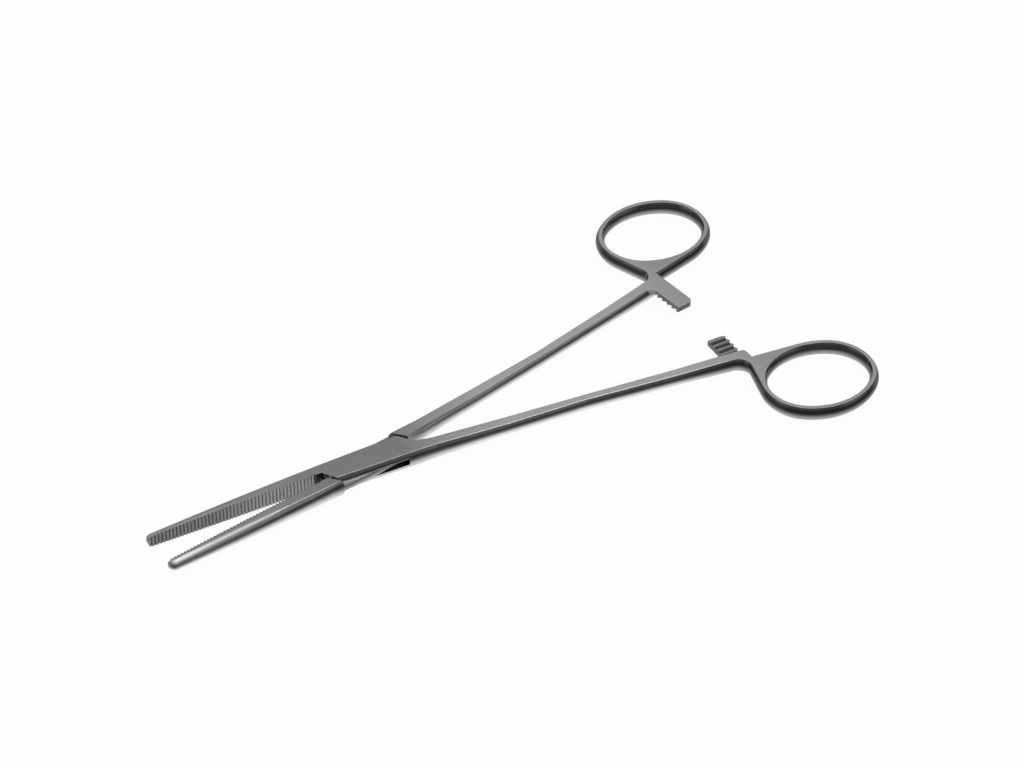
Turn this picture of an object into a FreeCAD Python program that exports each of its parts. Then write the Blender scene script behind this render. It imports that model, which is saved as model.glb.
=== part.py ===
import FreeCAD, Part
import math
import os
import re

import Sketcher

# Haemostatic forceps, 180 mm, laid flat and a little open. Millimetres.
# Two forged halves cross in a box lock and turn on one flush riveted pin.
# Origin: on the pivot axis at the underside of the lock. X runs towards the
# finger rings, Y across the halves, Z up. Each half is drawn in its own frame,
# lying along X as it does with the jaws shut, and is then turned about Z.

doc = FreeCAD.newDocument("forceps")

# Driving dimensions. A facet is the flat ground face on top and below, and a
# bulge is how far a rounded side stands out past the facet's edge.
SIZES = {
    "open_angle": 9.0,          # between the halves, from jaws shut to the pose shown
    "mid_height": 2.2,          # middle plane of the whole forceps
    "lock_thick": 4.4,
    "lock_reach": 11.8,         # pivot to the inner corner of a shoulder
    "lock_inner": 0.2,          # inner corner of a shoulder off the middle line
    "lock_slant": 1.36,         # rise of the shoulder line across the lock, per mm along it
    "lock_bulge": 0.75,
    "lock_gap": 0.08,           # running gap at the shoulders
    "plate_thick": 1.35,        # each cheek of the box
    "slide_gap": 0.04,          # running gap above and below the tongue
    "pin_radius": 1.5,
    "pin_flare": 0.4,           # how much wider the riveted ends are
    "pin_gap": 0.03,            # running gap round the pin in the tongue
    "jaw_reach": 56.35,         # pivot to the jaw tips
    "jaw_middle": 34.0,
    "jaw_root_facet": 2.93,
    "jaw_middle_facet": 2.1,
    "jaw_tip_facet": 0.75,
    "jaw_middle_thick": 3.9,
    "jaw_tip_thick": 2.9,
    "jaw_middle_bulge": 1.05,
    "jaw_tip_bulge": 1.33,
    "jaw_gap": 0.03,            # from each inner face to the middle line, shut
    "tip_round": 1.15,
    "tooth_pitch": 0.91,        # cross serrations of the jaws
    "tooth_depth": 0.28,
    "tooth_land": 0.12,         # flat ridge left between two grooves
    "root_inner": 0.2,          # edge of the shank's facet off the middle line
    "root_width": 3.35,
    "root_bulge": 0.03,         # the inner side starts flat at the root
    "flank_run": 4.6,           # from the lock to the next section of the shank
    "flank_inner": 1.09,
    "flank_width": 2.56,
    "flank_thick": 4.1,
    "flank_bulge": 0.45,
    "lower_run": 18.4,
    "lower_inner": 2.65,
    "lower_width": 2.36,
    "lower_thick": 3.25,
    "waist_run": 20.5,
    "waist_inner": 4.6,
    "waist_width": 1.74,
    "waist_thick": 3.2,
    "upper_run": 22.7,
    "upper_inner": 6.95,
    "upper_width": 2.13,
    "upper_thick": 3.1,
    "shank_bulge": 0.6,
    "neck_run": 15.0,
    "neck_inner": 8.47,
    "neck_width": 2.48,
    "neck_thick": 3.6,
    "ring_run": 15.5,           # from the neck to the middle of the finger ring
    "ring_rise": 17.18,
    "ring_tilt": 2.7,
    "ring_length": 27.0,        # hole, between the facet's inner edges
    "ring_width": 22.6,
    "ring_end_ease": 1.0,       # by how much the ends are tighter than half the width
    "ring_facet": 0.9,
    "ring_bulge": 0.65,
    "heel_run": 2.4,            # corner of the neck's outer side, at mid height
    "heel_rise": 1.77,
    "neck_round": 1.9,
    "crotch_run": 4.0,          # corner between ring and ratchet arm, at mid height
    "crotch_rise": 2.08,
    "crotch_round": 0.8,
    "arm_start": 0.4,           # from the neck to the ratchet arm
    "arm_width": 4.6,
    "arm_root_rise": 0.48,
    "arm_root_spread": 1.75,
    "arm_root_round": 1.1,
    "tip_upper": 2.0,           # how far the upper arm reaches past the middle line
    "tip_lower": 0.4,
    "arm_round": 2.4,
    "arm_corner": 1.3,
    "arm_gap": 0.06,            # half of the gap between the two rows of teeth
    "ratchet_pitch": 1.8,
    "ratchet_depth": 0.75,
    "ratchet_land": 0.12,       # flat crest of each tooth
    "ratchet_lead": 0.9,        # from an arm's tip to the back of its first tooth
    "teeth_upper": 5,
    "teeth_lower": 4,
    "side_share": 0.97,         # of the largest radius that rounds a tapered side
    "grind_stock": 0.15,        # stock ground off each flat of the lock
}

# Places that follow from the sizes. The shank's sections follow each other from
# the lock, and ring, neck and ratchet arm are placed from the last one.
DERIVED = {
    "flank_reach": "lock_reach + flank_run",
    "lower_reach": "flank_reach + lower_run",
    "waist_reach": "lower_reach + waist_run",
    "upper_reach": "waist_reach + upper_run",
    "neck_reach": "upper_reach + neck_run",
    "root_outer": "root_inner + root_width",
    "flank_outer": "flank_inner + flank_width",
    "lower_outer": "lower_inner + lower_width",
    "waist_outer": "waist_inner + waist_width",
    "upper_outer": "upper_inner + upper_width",
    "neck_outer": "neck_inner + neck_width",
    "ring_reach": "neck_reach + ring_run",
    "ring_side": "neck_inner + ring_rise",
    "ring_end_radius": "ring_width / 2 - ring_end_ease",
    "heel_reach": "neck_reach + heel_run",
    "heel_side": "neck_outer + heel_rise",
    "crotch_reach": "neck_reach + crotch_run",
    "crotch_side": "neck_inner + crotch_rise",
    "arm_inner": "neck_reach + arm_start",
    "arm_outer": "arm_inner + arm_width",
    "arm_root_inner": "neck_inner + arm_root_rise",
    "arm_root_outer": "neck_outer + arm_root_spread",
    "tooth_count": "floor((jaw_reach - lock_reach) / tooth_pitch) - 1",
}

TINY = 1e-6

sheet = doc.addObject("Spreadsheet::Sheet", "Sizes")
for row, (alias, size) in enumerate(SIZES.items(), 1):
    cell = "B%d" % row
    sheet.set("A%d" % row, alias)
    sheet.set(cell, str(size))
    sheet.setAlias(cell, alias)
doc.recompute()


def rule(text):
    """Turn the plain names in a formula into cells of the sheet."""
    def cell(found):
        name = found.group(0)
        return "(%s)" % rule(DERIVED[name]) if name in DERIVED else "Sizes." + name

    return re.sub(r"[a-z]+(?:_[a-z]+)+", cell, text)


def value(text):
    """The number that a formula gives with the sheet as it stands."""
    found = sheet.evalExpression(rule(text))
    return float(getattr(found, "Value", found))


def flip(text, side):
    """A distance across the half: the two halves are mirror images."""
    return text if side > 0 else "-(%s)" % text


def bind(feature, prop, text):
    feature.setExpression(prop, rule(text))


class Drawing:
    """A sketch on one of a body's origin planes, held by bound dimensions."""

    def __init__(self, body, name, plane, lift=None):
        self.sketch = body.newObject("Sketcher::SketchObject", name)
        role = [face for face in body.Origin.OriginFeatures if face.Role == plane][0]
        self.sketch.AttachmentSupport = [(role, "")]
        self.sketch.MapMode = "FlatFace"
        if lift:
            bind(self.sketch, "AttachmentOffset.Base.z", lift)

    def line(self, start, end):
        edge = Part.LineSegment(FreeCAD.Vector(*start), FreeCAD.Vector(*end))
        return self.sketch.addGeometry(edge), 1, 2

    def arc(self, start, middle, end):
        """An arc through three points, with the numbers of its first and last end."""
        edge = Part.Arc(*[FreeCAD.Vector(*point) for point in (start, middle, end)])
        index = self.sketch.addGeometry(edge)
        first = self.sketch.getPoint(index, 1)
        forward = first.distanceToPoint(FreeCAD.Vector(*start)) < first.distanceToPoint(
            FreeCAD.Vector(*end))
        return (index, 1, 2) if forward else (index, 2, 1)

    def hold(self, kind, *args):
        """Add a constraint. A text at the end is a formula that drives its size."""
        if isinstance(args[-1], str):
            index = self.sketch.addConstraint(
                Sketcher.Constraint(kind, *args[:-1], value(args[-1])))
            self.sketch.setExpression("Constraints[%d]" % index, rule(args[-1]))
        else:
            self.sketch.addConstraint(Sketcher.Constraint(kind, *args))

    def pin(self, geometry, end, place):
        self.hold("DistanceX", -1, 1, geometry, end, place[0])
        self.hold("DistanceY", -1, 1, geometry, end, place[1])

    def outline(self, corners, rounds=()):
        """A closed outline through pinned corners. rounds maps a side's number to
        its radius and how far the arc stands off the chord, to its right if positive."""
        rounds = dict(rounds)
        places = [(value(x), value(y), 0) for x, y in corners]
        edges = []
        for number, start in enumerate(places):
            end = places[(number + 1) % len(places)]
            if number in rounds:
                radius, rise = rounds[number]
                height = value(rise)
                along = (end[0] - start[0], end[1] - start[1])
                span = math.hypot(*along)
                middle = ((start[0] + end[0]) / 2 + height * along[1] / span,
                          (start[1] + end[1]) / 2 - height * along[0] / span, 0)
                edge = self.arc(start, middle, end)
                self.hold("Radius", edge[0], radius)
            else:
                edge = self.line(start, end)
            edges.append(edge)
        for number, (edge, first, last) in enumerate(edges):
            follower, start, _ = edges[(number + 1) % len(edges)]
            self.hold("Coincident", edge, last, follower, start)
            self.pin(edge, first, corners[number])
        return edges


def arc_radius(thick, bulge):
    """Radius of a side that stands out by bulge over a height of thick."""
    return "((%s)^2 / 4 + (%s)^2) / (2 * (%s))" % (thick, bulge, bulge)


def section(body, name, reach, inner, outer, thick, bulges, side):
    """Cross-section of a half: flat above and below, rounded at the sides."""
    drawing = Drawing(body, name, "YZ_Plane", reach)
    top = "mid_height + (%s) / 2" % thick
    low = "mid_height - (%s) / 2" % thick
    near = flip(inner, side)
    far = flip(outer, side)
    rounds = {}
    for number, bulge, turn in ((1, bulges[1], side), (3, bulges[0], side)):
        if bulge:
            rise = bulge if turn < 0 else "-(%s)" % bulge
            rounds[number] = (arc_radius(thick, bulge), rise)
    drawing.outline([(near, top), (far, top), (far, low), (near, low)], rounds)
    return drawing.sketch


def loft(body, name, sections, ruled=False):
    feature = body.newObject("PartDesign::AdditiveLoft", name)
    feature.Profile = sections[0]
    feature.Sections = sections[1:]
    feature.Ruled = ruled
    return feature


def flat_inner(reach):
    """The jaw's inner face is flat from its gap at the tip to the shoulder."""
    share = "(jaw_reach - %s) / (jaw_reach - lock_reach)" % reach
    return "jaw_gap + (lock_inner - jaw_gap) * " + share


def add_jaw(body, side):
    root = section(body, "JawRoot", "-lock_reach", "lock_inner", "jaw_root_facet",
                   "lock_thick", (None, "lock_bulge"), side)
    middle = section(body, "JawMiddle", "-jaw_middle", flat_inner("jaw_middle"),
                     "jaw_middle_facet", "jaw_middle_thick", (None, "jaw_middle_bulge"), side)
    tip = section(body, "JawTip", "-jaw_reach", "jaw_gap", "jaw_tip_facet",
                  "jaw_tip_thick", (None, "jaw_tip_bulge"), side)
    return loft(body, "Jaw", [root, middle, tip])


def add_shank(body, side):
    stations = [section(body, "ShankRoot", "lock_reach", "root_inner", "root_outer",
                        "lock_thick", ("root_bulge", "lock_bulge"), side),
                section(body, "ShankFlank", "flank_reach", "flank_inner", "flank_outer",
                        "flank_thick", ("flank_bulge", "lock_bulge"), side)]
    for name in ("lower", "waist", "upper"):
        stations.append(section(
            body, "Shank" + name.title(), name + "_reach", name + "_inner",
            name + "_outer", name + "_thick", ("shank_bulge", "shank_bulge"), side))
    stations.append(section(body, "ShankNeck", "neck_reach", "neck_inner", "neck_outer",
                            "neck_thick", ("ring_bulge", "ring_bulge"), side))
    return loft(body, "Shank", stations, ruled=True)


# How far the tapered sides of the ring would run out to a sharp edge at mid height
RING_SLOPE = "(2 * ring_bulge / neck_thick)"
RING_LEAN = "(2 * ring_bulge / (1 - %s^2))" % RING_SLOPE
SIDE_RADIUS = ("((ring_length^2 / 4 + ring_width^2 / 4 - ring_length * ring_end_radius)"
               " / (ring_width - 2 * ring_end_radius))")


def oval(grow):
    """Rules for a finger ring's oval: two end arcs and two side arcs that meet
    smoothly, grown from the edge of the hole's facet."""
    end_centre = "(ring_length / 2 - ring_end_radius)"
    side_centre = "(%s - ring_width / 2)" % SIDE_RADIUS
    spread = "(%s - ring_end_radius)" % SIDE_RADIUS
    end_radius = "(ring_end_radius + %s)" % grow
    side_radius = "(%s + %s)" % (SIDE_RADIUS, grow)
    joint_x = "(%s * (1 + %s / %s))" % (end_centre, end_radius, spread)
    joint_y = "(%s * %s / %s)" % (side_centre, end_radius, spread)
    return end_centre, side_centre, end_radius, side_radius, joint_x, joint_y


def in_ring_frame(x_rule, y_rule):
    """A place in the half's frame, seen from the middle of its tilted ring."""
    along = "(%s - ring_reach)" % x_rule
    across = "(%s - ring_side)" % y_rule
    return ("%s * cos(ring_tilt) - %s * sin(ring_tilt)" % (along, across),
            "%s * sin(ring_tilt) + %s * cos(ring_tilt)" % (along, across))


def ring_drawing(body, name, side):
    drawing = Drawing(body, name, "XY_Plane", "mid_height")
    bind(drawing.sketch, "AttachmentOffset.Base.x", "ring_reach")
    bind(drawing.sketch, "AttachmentOffset.Base.y", flip("ring_side", side))
    bind(drawing.sketch, "AttachmentOffset.Rotation.Angle", flip("-ring_tilt", side))
    return drawing


def touch(centre, radius, outside, turn):
    """Where a line from a point outside touches a circle."""
    reach = math.hypot(outside[0] - centre[0], outside[1] - centre[1])
    bearing = math.atan2(outside[1] - centre[1], outside[0] - centre[0])
    angle = bearing + turn * math.acos(radius / reach)
    return centre[0] + radius * math.cos(angle), centre[1] + radius * math.sin(angle)


def between(start, end, share):
    return tuple(a + (b - a) * share for a, b in zip(start, end))


def neck_outline(body, side):
    """Ring and neck in one outline at mid height, where the rounded sides of the
    metal would meet in an edge."""
    drawing = ring_drawing(body, "NeckOutline", side)
    grow = "(ring_facet + %s)" % RING_LEAN
    end_centre, side_centre, end_radius, side_radius, joint_x, joint_y = oval(grow)
    back = "(neck_reach - 2 * ring_bulge - ring_facet)"
    end_out = "(neck_outer + %s)" % RING_LEAN
    fall = "(heel_side - %s) / (heel_reach - neck_reach)" % end_out
    corners = {"cap_in": (back, "neck_inner - %s" % RING_LEAN),
               "crotch": ("crotch_reach", "crotch_side"),
               "heel": ("heel_reach", "heel_side"),
               "cap_out": (back, "%s - %s * (neck_reach - %s)" % (end_out, fall, back))}
    rules = {name: in_ring_frame(*corner) for name, corner in corners.items()}
    spot = {name: (value(x), value(y)) for name, (x, y) in rules.items()}
    radius = {"end": value(end_radius), "side": value(side_radius)}
    joint = (value(joint_x), value(joint_y))
    low_touch = touch((0, value(side_centre)), radius["side"], spot["crotch"], 1)
    left_touch = touch((-value(end_centre), 0), radius["end"], spot["heel"], -1)

    def place(point):
        return point[0], point[1] * (1 if side > 0 else -1), 0

    def line(start, end):
        return drawing.line(place(start), place(end))

    def arc(centre, start, end):
        """Arc about a centre, by the shorter way from start to end."""
        size = math.hypot(start[0] - centre[0], start[1] - centre[1])
        half = between(start, end, 0.5)
        far = math.hypot(half[0] - centre[0], half[1] - centre[1])
        middle = between(centre, half, size / far)
        return drawing.arc(place(start), place(middle), place(end))

    def round_corner(corner, before, after, size):
        """A small arc that touches both sides of a corner."""
        ways = []
        for end in (before, after):
            reach = math.hypot(end[0] - corner[0], end[1] - corner[1])
            ways.append(((end[0] - corner[0]) / reach, (end[1] - corner[1]) / reach))
        half = math.acos(ways[0][0] * ways[1][0] + ways[0][1] * ways[1][1]) / 2
        start, end = (tuple(corner[axis] + way[axis] * size / math.tan(half)
                            for axis in (0, 1)) for way in ways)
        crown = (size / math.sin(half) - size) / (2 * math.cos(half))
        middle = tuple(corner[axis] + (ways[0][axis] + ways[1][axis]) * crown
                       for axis in (0, 1))
        return drawing.arc(place(start), place(middle), place(end)), start, end

    crotch, crotch_start, crotch_end = round_corner(
        spot["crotch"], spot["cap_in"], low_touch, value("crotch_round"))
    heel, heel_start, heel_end = round_corner(
        spot["heel"], left_touch, spot["cap_out"], value("neck_round"))
    inner = line(spot["cap_in"], crotch_start)
    below = line(crotch_end, low_touch)
    low = arc((0, value(side_centre)), low_touch, (joint[0], -joint[1]))
    right = arc((value(end_centre), 0), (joint[0], -joint[1]), joint)
    high = arc((0, -value(side_centre)), joint, (-joint[0], joint[1]))
    left = arc((-value(end_centre), 0), (-joint[0], joint[1]), left_touch)
    beside = line(left_touch, heel_start)
    outer = line(heel_end, spot["cap_out"])
    cap = line(spot["cap_out"], spot["cap_in"])

    def follow(kind, first, second):
        drawing.hold(kind, first[0], first[2], second[0], second[1])

    def pin(edge, end, x_rule, y_rule):
        drawing.pin(edge[0], end, (x_rule, flip(y_rule, side)))

    for first, second in ((low, right), (right, high), (high, left), (outer, cap),
                          (cap, inner)):
        follow("Coincident", first, second)
    for first, second in ((inner, crotch), (crotch, below), (below, low),
                          (left, beside), (beside, heel), (heel, outer)):
        follow("Tangent", first, second)
    for edge, size in ((low, side_radius), (right, end_radius), (high, side_radius),
                       (left, end_radius), (crotch, "crotch_round"),
                       (heel, "neck_round")):
        drawing.hold("Radius", edge[0], size)
    pin(right, right[1], joint_x, "-" + joint_y)
    pin(right, right[2], joint_x, joint_y)
    pin(high, high[2], "-" + joint_x, joint_y)
    pin(inner, inner[1], *rules["cap_in"])
    pin(outer, outer[2], *rules["cap_out"])
    drawing.hold("DistanceX", -1, 1, low[0], 3, "0 * ring_length")
    drawing.hold("DistanceY", -1, 1, left[0], 3, "0 * ring_length")
    for name, edges in (("crotch", (inner, below)), ("heel", (beside, outer))):
        mark = drawing.sketch.addGeometry(
            Part.Point(FreeCAD.Vector(*place(spot[name]))), True)
        drawing.pin(mark, 1, (rules[name][0], flip(rules[name][1], side)))
        for edge in edges:
            drawing.hold("PointOnObject", mark, 1, edge[0])
    return drawing.sketch


def two_sided(body, kind, name, sketch, reach, taper=None):
    """A pad or pocket that runs the same way to both sides of its sketch."""
    feature = body.newObject("PartDesign::" + kind, name)
    feature.Profile = sketch
    feature.SideType = "Two sides"
    for length, angle in (("Length", "TaperAngle"), ("Length2", "TaperAngle2")):
        bind(feature, length, reach)
        if taper:
            bind(feature, angle, taper)
    return feature


def edges_at(shape, height):
    """Names of the edges that lie in one level plane."""
    names = []
    for number, edge in enumerate(shape.Edges, 1):
        box = edge.BoundBox
        if abs(box.ZMin - height) < TINY and abs(box.ZMax - height) < TINY:
            names.append("Edge%d" % number)
    return names


def add_neck(body, side):
    """Finger ring and neck, with the sides rounded over their whole height."""
    taper = "2 * atan(%s)" % RING_SLOPE
    two_sided(body, "Pad", "Neck", neck_outline(body, side), "neck_thick / 2", "-" + taper)
    drawing = ring_drawing(body, "RingHole", side)
    _, _, end_radius, side_radius, joint_x, joint_y = oval("-" + RING_LEAN)
    corners = [(joint_x, joint_y), ("-" + joint_x, joint_y),
               ("-" + joint_x, "-" + joint_y), (joint_x, "-" + joint_y)]
    side_rise = "%s - sqrt(%s^2 - %s^2)" % (side_radius, side_radius, joint_x)
    end_rise = "%s - sqrt(%s^2 - %s^2)" % (end_radius, end_radius, joint_y)
    drawing.outline(corners, {0: (side_radius, side_rise), 1: (end_radius, end_rise),
                              2: (side_radius, side_rise), 3: (end_radius, end_rise)})
    hole = two_sided(body, "Pocket", "RingHoleCut", drawing.sketch, "neck_thick / 2", taper)
    doc.recompute()
    sides = body.newObject("PartDesign::Fillet", "NeckSides")
    sides.Base = (hole, edges_at(hole.Shape, value("mid_height")))
    bind(sides, "Radius", "side_share * (%s)" % arc_radius("neck_thick", "ring_bulge"))
    trim = Drawing(body, "NeckTrim", "XY_Plane", "mid_height")
    back = "(neck_reach - neck_outer)"
    low, high = "0 * neck_outer", flip("2 * neck_outer", side)
    trim.outline([(back, low), ("neck_reach", low), ("neck_reach", high), (back, high)])
    two_sided(body, "Pocket", "NeckEnd", trim.sketch, "neck_thick")
    doc.recompute()


def rectangle(body, name, plane, corners, lift=None):
    drawing = Drawing(body, name, plane, lift)
    (left, low), (right, high) = corners
    drawing.outline([(left, low), (right, low), (right, high), (left, high)])
    return drawing.sketch


def add_lock_blank(body, side):
    """The lock's barrel-sided block, lofted a little tall and ground flat."""
    tall = "(lock_thick + 2 * grind_stock)"
    slope = "(2 * lock_bulge / lock_thick)"
    radius = arc_radius("lock_thick", "lock_bulge")
    back = "(%s - sqrt((%s)^2 - %s^2 / 4) - lock_bulge)" % (radius, radius, tall)
    ends = []
    for name, reach, width in (("LockFront", "-lock_reach", "jaw_root_facet"),
                               ("LockRear", "lock_reach", "root_outer")):
        edge = "%s - %s" % (width, back)
        bulge = "(lock_bulge + %s)" % back
        ends.append(section(body, name, reach, "-(%s)" % edge, edge, tall,
                            (bulge, bulge), side))
    loft(body, "LockBlank", ends, ruled=True)
    wide = "(lock_reach + root_outer)"
    corners = (("-" + wide, "-" + wide), (wide, wide))
    for name, lift, turned in (("GrindTop", "mid_height + lock_thick / 2", True),
                               ("GrindBelow", "mid_height - lock_thick / 2", False)):
        sketch = rectangle(body, name + "Face", "XY_Plane", corners, lift)
        grind = body.newObject("PartDesign::Pocket", name)
        grind.Profile = sketch
        grind.Reversed = turned
        bind(grind, "Length", "lock_thick / 2")
        doc.recompute()


def add_arm_root(body, side):
    """Full-height metal between shank, ring and ratchet arm."""
    start = section(body, "ArmRootStart", "neck_reach", "neck_inner",
                    "neck_outer - ring_bulge", "neck_thick", ("ring_bulge", None), side)
    end = section(body, "ArmRootEnd", "arm_outer", "arm_root_inner", "arm_root_outer",
                  "neck_thick", ("ring_bulge", None), side)
    loft(body, "ArmRoot", [start, end], ruled=True)
    doc.recompute()


def round_arm_root(body, side):
    """Round the upright corner where the full height of the neck ends."""
    whole = body.Tip
    names = []
    for number, edge in enumerate(whole.Shape.Edges, 1):
        middle = edge.valueAt((edge.FirstParameter + edge.LastParameter) / 2)
        at_end = abs(middle.x - value("arm_outer")) < TINY
        inside = side * middle.y < value("arm_root_inner") - TINY
        if at_end and inside:
            names.append("Edge%d" % number)
    corner = body.newObject("PartDesign::Fillet", "ArmRootCorner")
    corner.Base = (whole, names)
    bind(corner, "Radius", "arm_root_round")
    doc.recompute()


def through(body, name, sketch):
    """Cut a plan outline right through the metal."""
    feature = two_sided(body, "Pocket", name, sketch, "lock_thick")
    doc.recompute()
    return feature


def lock_corners(body, side, back_off):
    """Clear the two corners of the lock block that belong to the other half."""
    wide = "(2 * root_outer)"
    for name, sign in (("FrontCorner", "-"), ("RearCorner", "")):
        drawing = Drawing(body, name, "XY_Plane", "mid_height")
        across = side if sign else -side
        reach = "(lock_reach - %s)" % back_off
        foot = "(%s - (%s - lock_inner) / lock_slant)" % (reach, wide)
        far = "(lock_reach + lock_inner)"
        drawing.outline([(sign + reach, flip("lock_inner", across)),
                         (sign + foot, flip(wide, across)),
                         (sign + far, flip(wide, across)),
                         (sign + far, flip("lock_inner", across))])
        through(body, name + "Cut", drawing.sketch)


def lock_waist(body, side, back_off):
    """Plan of everything between a half's own two shoulders."""
    wide = "(2 * root_outer)"
    reach = "(lock_reach + %s)" % back_off
    foot = "(%s - (%s - lock_inner) / lock_slant)" % (reach, wide)
    far = "(lock_reach + lock_inner)"
    corners = []
    for sign in ("-", ""):
        near_side = -side if sign else side
        corners += [(sign + reach, flip("lock_inner", near_side)),
                    (sign + foot, flip(wide, near_side)),
                    ("-" + far if not sign else far, flip(wide, near_side))]
    return corners


def pocket(body, name, sketch, depth, turned=False):
    feature = body.newObject("PartDesign::Pocket", name)
    feature.Profile = sketch
    feature.Reversed = turned
    bind(feature, "Length", depth)
    doc.recompute()
    return feature


def cut_tongue(body, side):
    """Leave the thin tongue that passes through the box."""
    for name, lift, turned in (("UpperCheek", "mid_height + lock_thick / 2", False),
                               ("LowerCheek", "mid_height - lock_thick / 2", True)):
        drawing = Drawing(body, name, "XY_Plane", lift)
        drawing.outline(lock_waist(body, side, "lock_gap"))
        pocket(body, name + "Cut", drawing.sketch, "plate_thick + slide_gap", turned)


def cut_slot(body, side):
    """The slot of the box, between its two cheeks."""
    drawing = Drawing(body, "SlotPlan", "XY_Plane", "mid_height")
    drawing.outline(lock_waist(body, side, "0 * lock_gap"))
    two_sided(body, "Pocket", "Slot", drawing.sketch, "lock_thick / 2 - plate_thick")
    doc.recompute()


def repeat(body, name, feature, sketch, pitch, count, turned=False):
    """Repeat a cut along its sketch's first axis."""
    pattern = body.newObject("PartDesign::LinearPattern", name)
    pattern.Originals = [feature]
    pattern.Direction = (sketch, ["H_Axis"])
    pattern.Reversed = turned
    pattern.Mode = "Spacing"
    bind(pattern, "Offset", pitch)
    bind(pattern, "Occurrences", count)
    body.Tip = pattern
    doc.recompute()
    return pattern


def cut_serrations(body, side, lead):
    """Cross grooves over the jaw's flat inner face, from the tip to the lock."""
    drawing = Drawing(body, "Serration", "XY_Plane", "mid_height")
    lean = "atan((lock_inner - jaw_gap) / (jaw_reach - lock_reach))"
    bind(drawing.sketch, "AttachmentOffset.Base.x", "-jaw_reach")
    bind(drawing.sketch, "AttachmentOffset.Base.y", flip("jaw_gap", side))
    bind(drawing.sketch, "AttachmentOffset.Rotation.Angle", flip(lean, side))
    half = "((tooth_pitch - tooth_land) / 2)"
    start = "(%s * tooth_pitch)" % lead
    proud = "(%s * jaw_gap / tooth_depth)" % half
    drawing.outline([("%s - %s - %s" % (start, half, proud), flip("-jaw_gap", side)),
                     ("%s + %s + %s" % (start, half, proud), flip("-jaw_gap", side)),
                     (start, flip("tooth_depth", side))])
    groove = through(body, "SerrationCut", drawing.sketch)
    return repeat(body, "Serrations", groove, drawing.sketch, "tooth_pitch", "tooth_count")


def round_tip(body, side, jaw):
    """Blunt the jaw's tip all round, but for the edge of its inner face."""
    doc.recompute()
    reach = -value("jaw_reach")
    inner = value(flip("jaw_gap", side))
    names = []
    for number, edge in enumerate(jaw.Shape.Edges, 1):
        places = [edge.valueAt(at) for at in
                  (edge.FirstParameter, (edge.FirstParameter + edge.LastParameter) / 2,
                   edge.LastParameter)]
        at_end = all(abs(place.x - reach) < TINY for place in places)
        if at_end and abs(places[1].y - inner) > TINY:
            names.append("Edge%d" % number)
    tip = body.newObject("PartDesign::Fillet", "JawEnd")
    tip.Base = (jaw, names)
    bind(tip, "Radius", "tip_round")
    doc.recompute()
    return tip


def add_arm(body, side, upper):
    """Ratchet arm: half as thick as the neck, toothed on the face towards the other."""
    sign = "+" if upper else "-"
    drawing = Drawing(body, "ArmPlan", "XY_Plane", "mid_height %s arm_gap" % sign)
    slope = "((neck_inner - upper_inner) / (neck_reach - upper_reach))"
    lean = "atan(%s)" % slope
    corner = "(neck_inner + %s * (arm_inner - neck_reach))" % slope
    tangent = "(arm_round * tan(45 deg + %s / 2))" % lean
    tip = "-tip_upper" if upper else "-tip_lower"
    corners = [("arm_inner - %s * cos(%s)" % (tangent, lean),
                "%s - %s * sin(%s)" % (corner, tangent, lean)),
               ("arm_inner", "%s - %s" % (corner, tangent)),
               ("arm_inner", tip),
               ("arm_outer - arm_corner", tip),
               ("arm_outer", "%s + arm_corner" % tip),
               ("arm_outer", "arm_root_outer - ring_bulge"),
               ("neck_reach", "neck_outer - ring_bulge")]
    corners = [(along, flip(across, side)) for along, across in corners]
    bend = "(arm_round * (1 - cos(45 deg - %s / 2)))" % lean
    bow = "(arm_corner * (1 - cos(45 deg)))"
    rounds = {0: ("arm_round", flip("-" + bend, side)),
              3: ("arm_corner", flip(bow, side))}
    drawing.outline(corners, rounds)
    arm = body.newObject("PartDesign::Pad", "Arm")
    arm.Profile = drawing.sketch
    arm.Reversed = not upper
    bind(arm, "Length", "neck_thick / 2 - arm_gap")
    doc.recompute()
    face = "mid_height %s arm_gap" % sign
    root = "%s %s ratchet_depth" % (face, sign)
    back = "%s + ratchet_lead - ratchet_pitch" % tip
    crest = "%s + ratchet_lead - ratchet_land" % tip
    tooth = Drawing(body, "Tooth", "YZ_Plane", "arm_inner - 2 * arm_round")
    tooth.outline([(flip(back, side), face), (flip(crest, side), face),
                   (flip(back, side), root)])
    width = "arm_outer - arm_inner + 3 * arm_round"
    cut = pocket(body, "ToothCut", tooth.sketch, width, True)
    count = "teeth_upper + 1" if upper else "teeth_lower + 1"
    return repeat(body, "Teeth", cut, tooth.sketch, "ratchet_pitch", count, side < 0)


def pin_profile(body, name):
    """Half section of the pin with its two flared, flush ends."""
    drawing = Drawing(body, name, "XZ_Plane")
    low = "mid_height - lock_thick / 2"
    top = "mid_height + lock_thick / 2"
    wide = "pin_radius + pin_flare"
    drawing.outline([("0 * pin_radius", low), (wide, low), ("pin_radius", low + " + pin_flare"),
                     ("pin_radius", top + " - pin_flare"), (wide, top),
                     ("0 * pin_radius", top)])
    return drawing.sketch


def turn(body, kind, name, sketch):
    feature = body.newObject("PartDesign::" + kind, name)
    feature.Profile = sketch
    feature.ReferenceAxis = (sketch, ["V_Axis"])
    feature.Angle = 360
    doc.recompute()
    return feature


def bore_tongue(body):
    drawing = Drawing(body, "PinBore", "XY_Plane", "mid_height")
    circle = drawing.sketch.addGeometry(
        Part.Circle(FreeCAD.Vector(0, 0, 0), FreeCAD.Vector(0, 0, 1), value("pin_radius")))
    drawing.hold("Coincident", circle, 3, -1, 1)
    drawing.hold("Radius", circle, "pin_radius + pin_gap")
    return through(body, "PinBoreCut", drawing.sketch)


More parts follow.
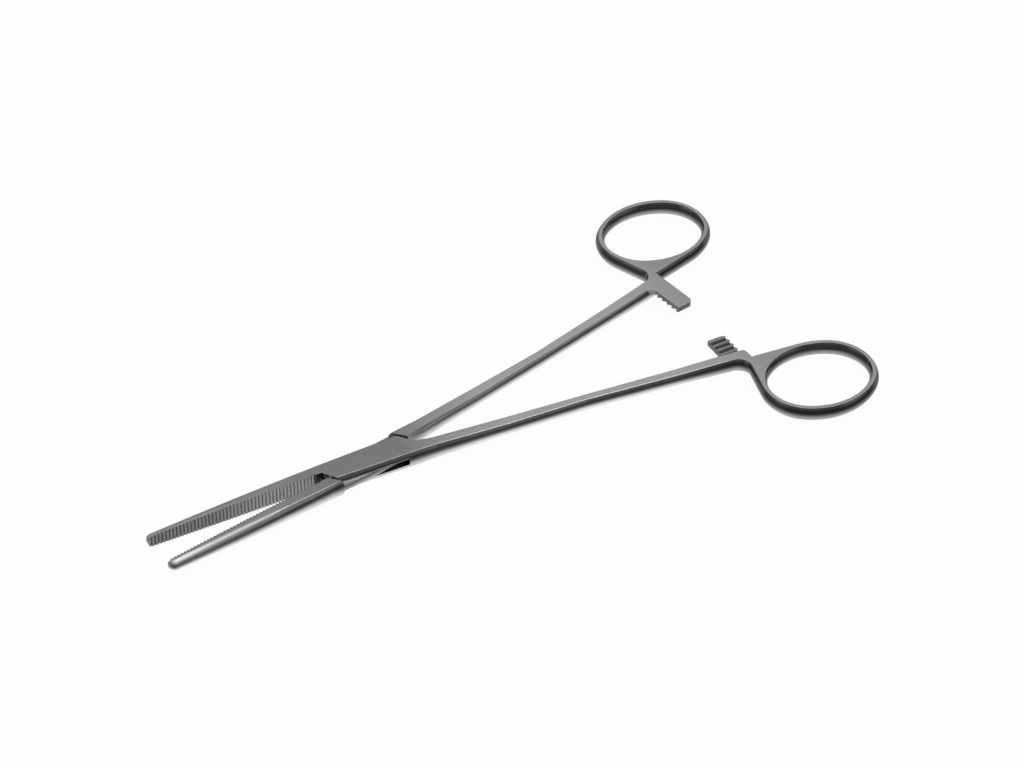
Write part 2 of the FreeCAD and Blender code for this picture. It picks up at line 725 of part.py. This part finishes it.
def add_half(name, side, upper):
    """One forged half. Its handle lies on the given side of the middle line."""
    body = doc.addObject("PartDesign::Body", name)
    body.Label = name
    body.AllowCompound = True
    add_neck(body, side)
    add_lock_blank(body, side)
    lock_corners(body, side, "lock_gap")
    if upper:
        cut_tongue(body, side)
    else:
        cut_slot(body, side)
    add_shank(body, side)
    jaw = add_jaw(body, -side)
    round_tip(body, -side, jaw)
    cut_serrations(body, -side, "0.5" if upper else "1")
    add_arm_root(body, side)
    if not upper:
        round_arm_root(body, side)
    add_arm(body, side, upper)
    if upper:
        bore_tongue(body)
    else:
        turn(body, "Groove", "PinHole", pin_profile(body, "PinHoleProfile"))
    body.Placement = FreeCAD.Placement(
        FreeCAD.Vector(0, 0, 0), FreeCAD.Rotation(FreeCAD.Vector(0, 0, side), 1))
    bind(body, "Placement.Rotation.Angle", "open_angle / 2")
    return body


def add_pin(name):
    body = doc.addObject("PartDesign::Body", name)
    body.Label = name
    turn(body, "Revolution", "Rivet", pin_profile(body, "RivetProfile"))
    return body


def main():
    parts = [add_half("box_half", -1, False), add_half("tongue_half", 1, True),
             add_pin("pivot_pin")]
    doc.recompute()
    for item in doc.Objects:
        if "Invalid" in item.State or "Error" in item.State:
            raise RuntimeError("%s did not recompute" % item.Label)
    for part in parts:
        shape = part.Shape
        if shape.isNull() or not shape.isValid() or len(shape.Solids) != 1:
            raise RuntimeError("%s is not one valid solid" % part.Label)
    os.makedirs("parts", exist_ok=True)
    for part in parts:
        part.Shape.exportStep("parts/%s.step" % part.Label)
        print("%-12s volume %9.3f  faces %d" % (part.Label, part.Shape.Volume,
                                                 len(part.Shape.Faces)))


main()
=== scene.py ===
import math

import bpy
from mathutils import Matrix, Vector

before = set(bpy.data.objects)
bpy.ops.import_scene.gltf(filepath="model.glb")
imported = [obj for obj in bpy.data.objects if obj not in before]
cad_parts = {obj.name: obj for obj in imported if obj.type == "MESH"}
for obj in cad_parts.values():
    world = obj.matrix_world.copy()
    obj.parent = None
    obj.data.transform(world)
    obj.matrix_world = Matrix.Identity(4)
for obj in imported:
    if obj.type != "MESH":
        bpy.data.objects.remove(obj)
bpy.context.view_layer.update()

scene = bpy.context.scene
scene.view_settings.view_transform = "Standard"

# Lengths are in metres. A curve is a row of stops, each a place and the level there.
# A span is the pair of places between which one level turns into another.

# Camera: the photograph's view.
CAMERA_PLACE = (-0.33441, -0.55770, 0.56166)
CAMERA_AZIMUTH = math.radians(-33.91)
CAMERA_ELEVATION = math.radians(39.5)
CAMERA_LENS = 129.13        # mm
CAMERA_SENSOR = 36.0        # mm
CAMERA_CLIP = (0.01, 100.0)

# Studio, as the metal sees it in each direction. FORWARD and SIDEWAYS are level
# directions, across the table and to the right of it. A height is how far a direction
# points up, from 0 to 1, and a depth is how far it points down.
FORWARD = (0.558, 0.830, 0.0)
SIDEWAYS = (0.830, -0.558, 0.0)
CEILING_CURVE = (
    (0.50, 0.06), (0.57, 0.50), (0.62, 0.58), (0.66, 0.50), (0.71, 0.42), (0.77, 0.55),
    (0.85, 0.80), (0.95, 0.88),
)
WINDOW_CURVE = ((0.70, 0.0), (0.77, 0.55), (0.85, 1.2), (0.91, 2.0))
WINDOW_SPAN = (0.08, 0.30)
TABLE_CURVE = (
    (0.05, 0.04), (0.16, 0.04), (0.26, 0.07), (0.38, 0.15), (0.50, 0.27), (0.60, 0.45),
    (0.70, 0.66), (0.80, 0.92), (0.92, 1.2),
)
TABLE_LEAN = 0.1            # the far side of the table counts as deeper
FRONT_WALL = 0.36
FRONT_SPAN = (0.1, 0.5)
FRONT_TOP = (0.45, 0.55)
RIGHT_WALL = 0.3
RIGHT_SPAN = (0.5, 0.9)
RIGHT_FOOT = (-0.1, 0.2)
LEFT_WALL_LOW = 0.12
LEFT_WALL_HIGH = 0.36
LEFT_SPAN = (-0.9, -0.45)
LEFT_RISE = (0.12, 0.30)
BACK_WALL = 0.16
BACK_SPAN = (-0.8, -0.5)
BACK_RISE = (0.15, 0.32)
BRIGHTEST = 2.0             # the highest level that a curve can hold

# Table: a matt floor that glows for the camera, which makes the background white.
FLOOR_SIZE = 12.0
FLOOR_COLOUR = (0.88, 0.88, 0.88, 1.0)
FLOOR_GLOW = 1.03
FLOOR_GLOW_SHARE = 0.93

# Kinds of face, by how far the normal points up or down.
FLAT_NORMAL = (0.985, 0.998)
UPRIGHT_NORMAL = (0.02, 0.12)

# Places on the forceps. Distances along run from the pivot towards the rings.
MID_HEIGHT = 0.0022
SERRATED_SPAN = (-0.0122, -0.0120)
RING_SPAN = (0.014, 0.020)          # off the middle line
ARM_SPAN = (0.088, 0.090)
ARM_ACROSS = (0.0135, 0.0145)
CHEEK_SPAN = (0.00082, 0.00084)     # off the middle plane: the tongue, then the cheeks
SLOT_SPAN = (0.00088, 0.000968)
LOCK_SPAN = (0.0122, 0.012566)
CROTCH_PLACE = (-0.0125, 0.0, 0.0)
CROTCH_SPAN = (0.00147, 0.0021)
PIN_SPAN = (0.0026, 0.00286)

# Tones of the steel along the forceps and in its dark places. Apart from the tints, these
# tones are painted light: painted reflections and shade along the flats and sides, and
# painted shade on the rings' sides, the serrations, the slot, the crotch and the arm sides.
# Flats: the steps along the forceps are painted reflections, darkest at the lock.
FLAT_CURVE = (
    (-0.056, 0.62), (-0.030, 0.54), (-0.012, 0.49), (0.008, 0.47), (0.020, 0.66),
    (0.035, 0.82), (0.085, 0.86), (0.100, 0.66), (0.123, 0.74),
)
# Sides: painted reflections and shade, with the lock's sides darkest.
SIDE_CURVE = (
    (-0.056, 0.74), (-0.013, 0.70), (-0.010, 0.55), (0.012, 0.55), (0.025, 0.78),
    (0.123, 0.76),
)
# Serrations: painted shade, darker towards the tips.
SERRATED_SHADE_CURVE = ((-0.056, 0.58), (-0.040, 0.60), (-0.026, 0.84), (-0.012, 0.84))
RING_SIDE_SHADE = 0.42            # painted shade: share of a side's tone that is left on the rings
# Painted shade inside the box's slot.
SLOT_SHADE_TONE = 0.06
# Painted shade where the jaws meet.
CROTCH_SHADE_TONE = 0.08
# Painted shade on the ratchet arms' upright faces.
ARM_SIDE_SHADE_TONE = 0.30
GREEN_TINT = 1.003
BLUE_TINT = 1.006

# Grain and clouding: scale, detail and roughness of the noise, then what they change.
GRAIN_NOISE = (5200.0, 3.0, 0.6)
CLOUD_NOISE = (90.0, 3.0, 0.55)
GRAIN_ROUGHNESS = 0.16
CLOUD_ROUGHNESS = 0.10
CLOUD_SPAN = (0.3, 0.7)
CLOUD_TONES = (0.95, 1.05)
FLAT_ROUGHNESS = 0.21
SIDE_ROUGHNESS = 0.14
SERRATED_ROUGHNESS = 0.38
BUMP_STRENGTH = 0.12
BUMP_HEIGHT = 0.00002

# Shade in crevices: how far it reaches, the share of open air at which it is deepest
# and at which it ends, and the tone that is left. A second value is for the serrations.
CREVICE_REACH = (0.0016, 0.0006)
CREVICE_DEEP = (0.25, 0.57)
CREVICE_OPEN = (0.8, 0.92)
CREVICE_TONE = 0.15
ARM_CREVICE_TONE = 0.45

# Softened edges: their radius along the forceps. Serrations and pin stay sharp.
EDGE_CURVE = ((-0.037, 0.0012), (-0.022, 0.0003), (0.085, 0.0003), (0.095, 0.00012))

SHADER_SAMPLES = 4          # of the crevice shade and of the softened edges


class Nodes:
    """A node tree that is filled by short calls."""

    def __init__(self, tree):
        self.tree = tree
        tree.nodes.clear()

    def add(self, kind, settings=None, **inputs):
        """A node. An input is given by its name, or as i0, i1 and so on."""
        node = self.tree.nodes.new(kind)
        for name, setting in (settings or {}).items():
            setattr(node, name, setting)
        for name, given in inputs.items():
            numbered = name[0] == "i" and name[1:].isdigit()
            socket = int(name[1:]) if numbered else name.replace("_", " ")
            self.feed(node.inputs[socket], given)
        return node

    def feed(self, socket, given):
        if isinstance(given, bpy.types.NodeSocket):
            self.tree.links.new(given, socket)
        else:
            socket.default_value = given

    def math(self, operation, first, second=0.0, third=0.0):
        settings = {"operation": operation}
        return self.add("ShaderNodeMath", settings, i0=first, i1=second, i2=third).outputs[0]

    def vector(self, operation, result, first, second=(0.0, 0.0, 0.0)):
        settings = {"operation": operation}
        return self.add("ShaderNodeVectorMath", settings, i0=first, i1=second).outputs[result]

    def remap(self, given, span, low, high, kind="SMOOTHSTEP"):
        settings = {"interpolation_type": kind}
        return self.add(
            "ShaderNodeMapRange", settings, Value=given, From_Min=span[0], From_Max=span[1],
            To_Min=low, To_Max=high,
        ).outputs[0]

    def mix(self, share, first, second):
        settings = {"data_type": "FLOAT"}
        return self.add("ShaderNodeMix", settings, Factor=share, A=first, B=second).outputs[0]

    def noise(self, place, scale, detail, roughness):
        settings = {"noise_dimensions": "3D"}
        return self.add(
            "ShaderNodeTexNoise", settings, Vector=place, Scale=scale, Detail=detail,
            Roughness=roughness,
        ).outputs[0]

    def curve(self, given, stops):
        """The level of a row of stops at the given place."""
        first = stops[0][0]
        last = stops[-1][0]
        ramp = self.add("ShaderNodeValToRGB", Fac=self.remap(given, (first, last), 0, 1, "LINEAR"))
        marks = ramp.color_ramp.elements
        while len(marks) > 1:
            marks.remove(marks[0])
        marks[0].position = 0.0
        for number, (place, level) in enumerate(stops):
            mark = marks.new((place - first) / (last - first)) if number else marks[0]
            mark.color = (level / BRIGHTEST,) * 3 + (1,)
        return self.math("MULTIPLY", ramp.outputs[0], BRIGHTEST)


class Steel(Nodes):
    """Stainless steel: flats ground to a satin, rounded sides polished. Its colour carries painted
    reflections and painted shade.
    """

    def __init__(self, tree):
        super().__init__(tree)
        coordinates = self.add("ShaderNodeTexCoord")
        place = coordinates.outputs["Object"]
        self.grain = self.noise(place, *GRAIN_NOISE)
        self.cloud = self.noise(place, *CLOUD_NOISE)
        self.plan = self.vector("MULTIPLY", 0, place, (1, 1, 0))
        split = self.add("ShaderNodeSeparateXYZ", Vector=place)
        self.along = split.outputs["X"]
        self.across = self.math("ABSOLUTE", split.outputs["Y"])
        self.off_middle = self.math(
            "ABSOLUTE", self.math("SUBTRACT", split.outputs["Z"], MID_HEIGHT))
        normal = self.add("ShaderNodeSeparateXYZ", Vector=coordinates.outputs["Normal"])
        facing_up = self.math("ABSOLUTE", normal.outputs["Z"])
        self.flat = self.remap(facing_up, FLAT_NORMAL, 0.0, 1.0)
        self.upright = self.remap(facing_up, UPRIGHT_NORMAL, 1.0, 0.0)
        on_jaw = self.remap(self.along, SERRATED_SPAN, 1.0, 0.0)
        self.serrated = self.math("MULTIPLY", self.upright, on_jaw)
        self.past_neck = self.remap(self.along, ARM_SPAN, 0.0, 1.0)
        self.add(
            "ShaderNodeOutputMaterial",
            Surface=self.add(
                "ShaderNodeBsdfPrincipled", Base_Color=self.colour(), Metallic=1.0,
                Roughness=self.roughness(), Normal=self.normal(),
            ).outputs[0],
        )

    def in_slot(self):
        """The inner flats of the box's cheeks, but not the tongue's own flats: where shade is
        painted.
        """
        at_lock = self.remap(self.math("ABSOLUTE", self.along), LOCK_SPAN, self.flat, 0.0)
        near_middle = self.remap(self.off_middle, SLOT_SPAN, 1.0, 0.0)
        inside = self.math("MULTIPLY", near_middle, at_lock)
        return self.remap(self.off_middle, CHEEK_SPAN, 0.0, inside)

    def in_crotch(self):
        """The upright faces where the jaws meet, which get painted shade."""
        away = self.vector("DISTANCE", "Value", self.plan, CROTCH_PLACE)
        return self.remap(away, CROTCH_SPAN, self.upright, 0.0)

    def on_arm_side(self):
        """The upright faces of the ratchet arms, which get painted shade."""
        near_middle = self.remap(self.across, ARM_ACROSS, self.upright, 0.0)
        return self.math("MULTIPLY", self.past_neck, near_middle)

    def crevice_shade(self):
        hidden = self.add(
            "ShaderNodeAmbientOcclusion", {"samples": SHADER_SAMPLES, "only_local": True},
            Distance=self.mix(self.serrated, *CREVICE_REACH),
        )
        span = (self.mix(self.serrated, *CREVICE_DEEP), self.mix(self.serrated, *CREVICE_OPEN))
        deepest = self.mix(self.past_neck, CREVICE_TONE, ARM_CREVICE_TONE)
        return self.remap(hidden.outputs["AO"], span, deepest, 1.0)

    def colour(self):
        # Painted shade: the rings' sides keep only a share of the side tone.
        ring_side_shade = self.remap(self.across, RING_SPAN, 1.0, RING_SIDE_SHADE)
        # Painted reflections and shade: tones step along the forceps, sides apart from flats.
        side = self.math("MULTIPLY", self.curve(self.along, SIDE_CURVE), ring_side_shade)
        tone = self.mix(self.flat, side, self.curve(self.along, FLAT_CURVE))
        # Painted shade inside the slot.
        tone = self.mix(self.in_slot(), tone, SLOT_SHADE_TONE)
        clouding = self.remap(self.cloud, CLOUD_SPAN, *CLOUD_TONES, "LINEAR")
        tone = self.math("MULTIPLY", tone, clouding)
        # Serrations: painted shade, darker towards the tips.
        tone = self.mix(self.serrated, tone, self.curve(self.along, SERRATED_SHADE_CURVE))
        # Painted shade where the jaws meet.
        tone = self.mix(self.in_crotch(), tone, CROTCH_SHADE_TONE)
        # Painted shade on the ratchet arms' sides.
        tone = self.mix(self.on_arm_side(), tone, ARM_SIDE_SHADE_TONE)
        tone = self.math("MULTIPLY", tone, self.crevice_shade())
        green = self.math("MULTIPLY", tone, GREEN_TINT)
        blue = self.math("MULTIPLY", tone, BLUE_TINT)
        return self.add("ShaderNodeCombineColor", Red=tone, Green=green, Blue=blue).outputs[0]

    def roughness(self):
        rough = self.remap(self.flat, (0.0, 1.0), SIDE_ROUGHNESS, FLAT_ROUGHNESS, "LINEAR")
        for noise, share in ((self.grain, GRAIN_ROUGHNESS), (self.cloud, CLOUD_ROUGHNESS)):
            around_zero = self.math("SUBTRACT", noise, 0.5)
            rough = self.math("MULTIPLY_ADD", around_zero, share, rough)
        return self.mix(self.serrated, rough, SERRATED_ROUGHNESS)

    def normal(self):
        radius = self.mix(self.serrated, self.curve(self.along, EDGE_CURVE), 0.0)
        off_pin = self.vector("LENGTH", "Value", self.plan)
        radius = self.math("MULTIPLY", radius, self.remap(off_pin, PIN_SPAN, 0.0, 1.0))
        softened = self.add("ShaderNodeBevel", {"samples": SHADER_SAMPLES}, Radius=radius)
        return self.add(
            "ShaderNodeBump", Strength=BUMP_STRENGTH, Distance=BUMP_HEIGHT, Height=self.grain,
            Normal=softened.outputs[0],
        ).outputs[0]


def make_world():
    world = bpy.data.worlds.new("studio")
    scene.world = world
    world.use_nodes = True
    nodes = Nodes(world.node_tree)
    place = nodes.add("ShaderNodeTexCoord").outputs["Generated"]
    height = nodes.add("ShaderNodeSeparateXYZ", Vector=place).outputs["Z"]
    forward = nodes.vector("DOT_PRODUCT", "Value", place, FORWARD)
    sideways = nodes.vector("DOT_PRODUCT", "Value", place, SIDEWAYS)

    down = nodes.math("MULTIPLY", height, -1.0)
    depth = nodes.math("MULTIPLY_ADD", forward, TABLE_LEAN, down)
    table = nodes.curve(depth, TABLE_CURVE)

    window_share = nodes.remap(sideways, WINDOW_SPAN, 0.0, 1.0)
    window = nodes.math("MULTIPLY", nodes.curve(height, WINDOW_CURVE), window_share)
    ceiling = nodes.math("MAXIMUM", nodes.curve(height, CEILING_CURVE), window)

    front_share = nodes.remap(height, FRONT_TOP, 1.0, 0.0)
    front_level = nodes.remap(forward, FRONT_SPAN, 0.0, FRONT_WALL)
    front = nodes.math("MULTIPLY", front_share, front_level)

    right_share = nodes.remap(height, RIGHT_FOOT, 0.0, 1.0)
    right_level = nodes.remap(sideways, RIGHT_SPAN, 0.0, RIGHT_WALL)
    right = nodes.math("MULTIPLY", right_share, right_level)

    left_level = nodes.remap(height, LEFT_RISE, LEFT_WALL_LOW, LEFT_WALL_HIGH)
    left = nodes.remap(sideways, LEFT_SPAN, left_level, 0.0)

    back_level = nodes.remap(height, BACK_RISE, 0.0, BACK_WALL)
    back_share = nodes.remap(forward, BACK_SPAN, 1.0, 0.0)
    back = nodes.math("MULTIPLY", back_level, back_share)

    level = nodes.math("ADD", right, left)
    for other in (back, front, table, ceiling):
        level = nodes.math("MAXIMUM", level, other)
    path = nodes.add("ShaderNodeLightPath")
    level = nodes.mix(path.outputs["Is Camera Ray"], level, 1.0)
    light = nodes.add("ShaderNodeBackground", Strength=level)
    nodes.add("ShaderNodeOutputWorld", Surface=light.outputs[0])


def make_floor():
    bpy.ops.mesh.primitive_plane_add(size=FLOOR_SIZE, location=(0, 0, 0))
    floor = bpy.context.object
    floor.name = "floor"
    material = bpy.data.materials.new("floor")
    material.use_nodes = True
    nodes = Nodes(material.node_tree)
    matt = nodes.add("ShaderNodeBsdfDiffuse", Color=FLOOR_COLOUR)
    glow = nodes.add("ShaderNodeEmission", Strength=FLOOR_GLOW)
    path = nodes.add("ShaderNodeLightPath")
    share = nodes.math("MULTIPLY", path.outputs["Is Camera Ray"], FLOOR_GLOW_SHARE)
    mixed = nodes.add("ShaderNodeMixShader", i0=share, i1=matt.outputs[0], i2=glow.outputs[0])
    nodes.add("ShaderNodeOutputMaterial", Surface=mixed.outputs[0])
    floor.data.materials.append(material)
    floor.visible_glossy = False


def make_camera():
    data = bpy.data.cameras.new("camera")
    data.lens = CAMERA_LENS
    data.sensor_width = CAMERA_SENSOR
    data.clip_start, data.clip_end = CAMERA_CLIP
    camera = bpy.data.objects.new("camera", data)
    scene.collection.objects.link(camera)
    back = Vector((
        math.sin(CAMERA_AZIMUTH) * math.cos(CAMERA_ELEVATION),
        -math.cos(CAMERA_AZIMUTH) * math.cos(CAMERA_ELEVATION),
        math.sin(CAMERA_ELEVATION),
    ))
    camera.location = CAMERA_PLACE
    camera.rotation_euler = (-back).to_track_quat("-Z", "Y").to_euler()
    scene.camera = camera


def dress_forceps():
    material = bpy.data.materials.new("steel")
    material.use_nodes = True
    Steel(material.node_tree)
    for name in ("box_half", "tongue_half", "pivot_pin"):
        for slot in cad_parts[name].material_slots:
            slot.material = material


make_world()
make_floor()
make_camera()
dress_forceps()
